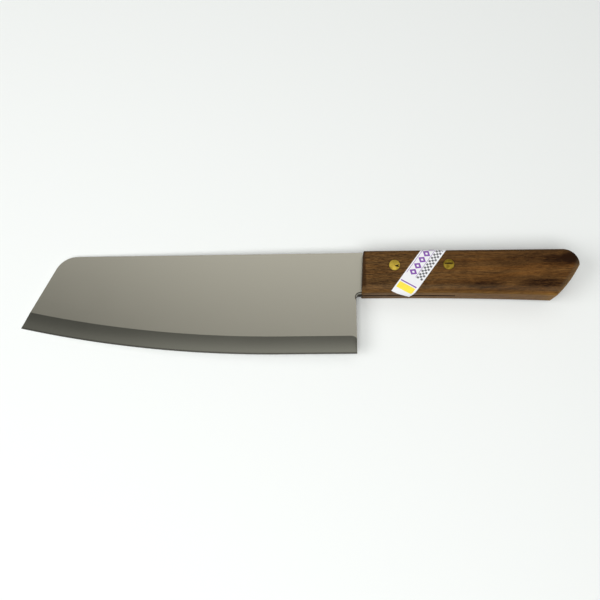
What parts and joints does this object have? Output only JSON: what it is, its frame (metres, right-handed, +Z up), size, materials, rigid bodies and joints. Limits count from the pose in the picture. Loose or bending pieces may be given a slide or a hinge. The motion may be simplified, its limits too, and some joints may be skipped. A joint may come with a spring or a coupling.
{
  "type": "chef knife",
  "caption": "Thin stamped kitchen knife with a slanted nose, hollow-ground belly, half tang in a sawn wooden handle, flush brass rivets and a paper label wrapped at a slant.",
  "frame": {"origin": "middle of the bounding box's bottom, on the surface the knife lies on", "axes": "+X from the blade's tip towards the handle's butt, +Y from the cutting edge towards the spine, +Z up out of the surface; the knife lies on its side, resting on its nose and on the front of the handle"},
  "size_m": [0.319, 0.0586, 0.023],
  "materials": {
    "blade_steel": "satin flats, ground band and honed edge",
    "handle_wood": "smooth, lightly sealed, grain along the handle",
    "rivet_brass": "ground flush, slightly dulled",
    "label_paper": "coated paper with a plain printed pattern"
  },
  "bodies": {
    "root": {"blade": "blade_steel", "handle": "handle_wood", "front_rivet_pin": "rivet_brass", "front_rivet_tube": "rivet_brass", "rear_rivet_pin": "rivet_brass", "rear_rivet_tube": "rivet_brass", "label": "label_paper"}
  },
  "joints": []
}
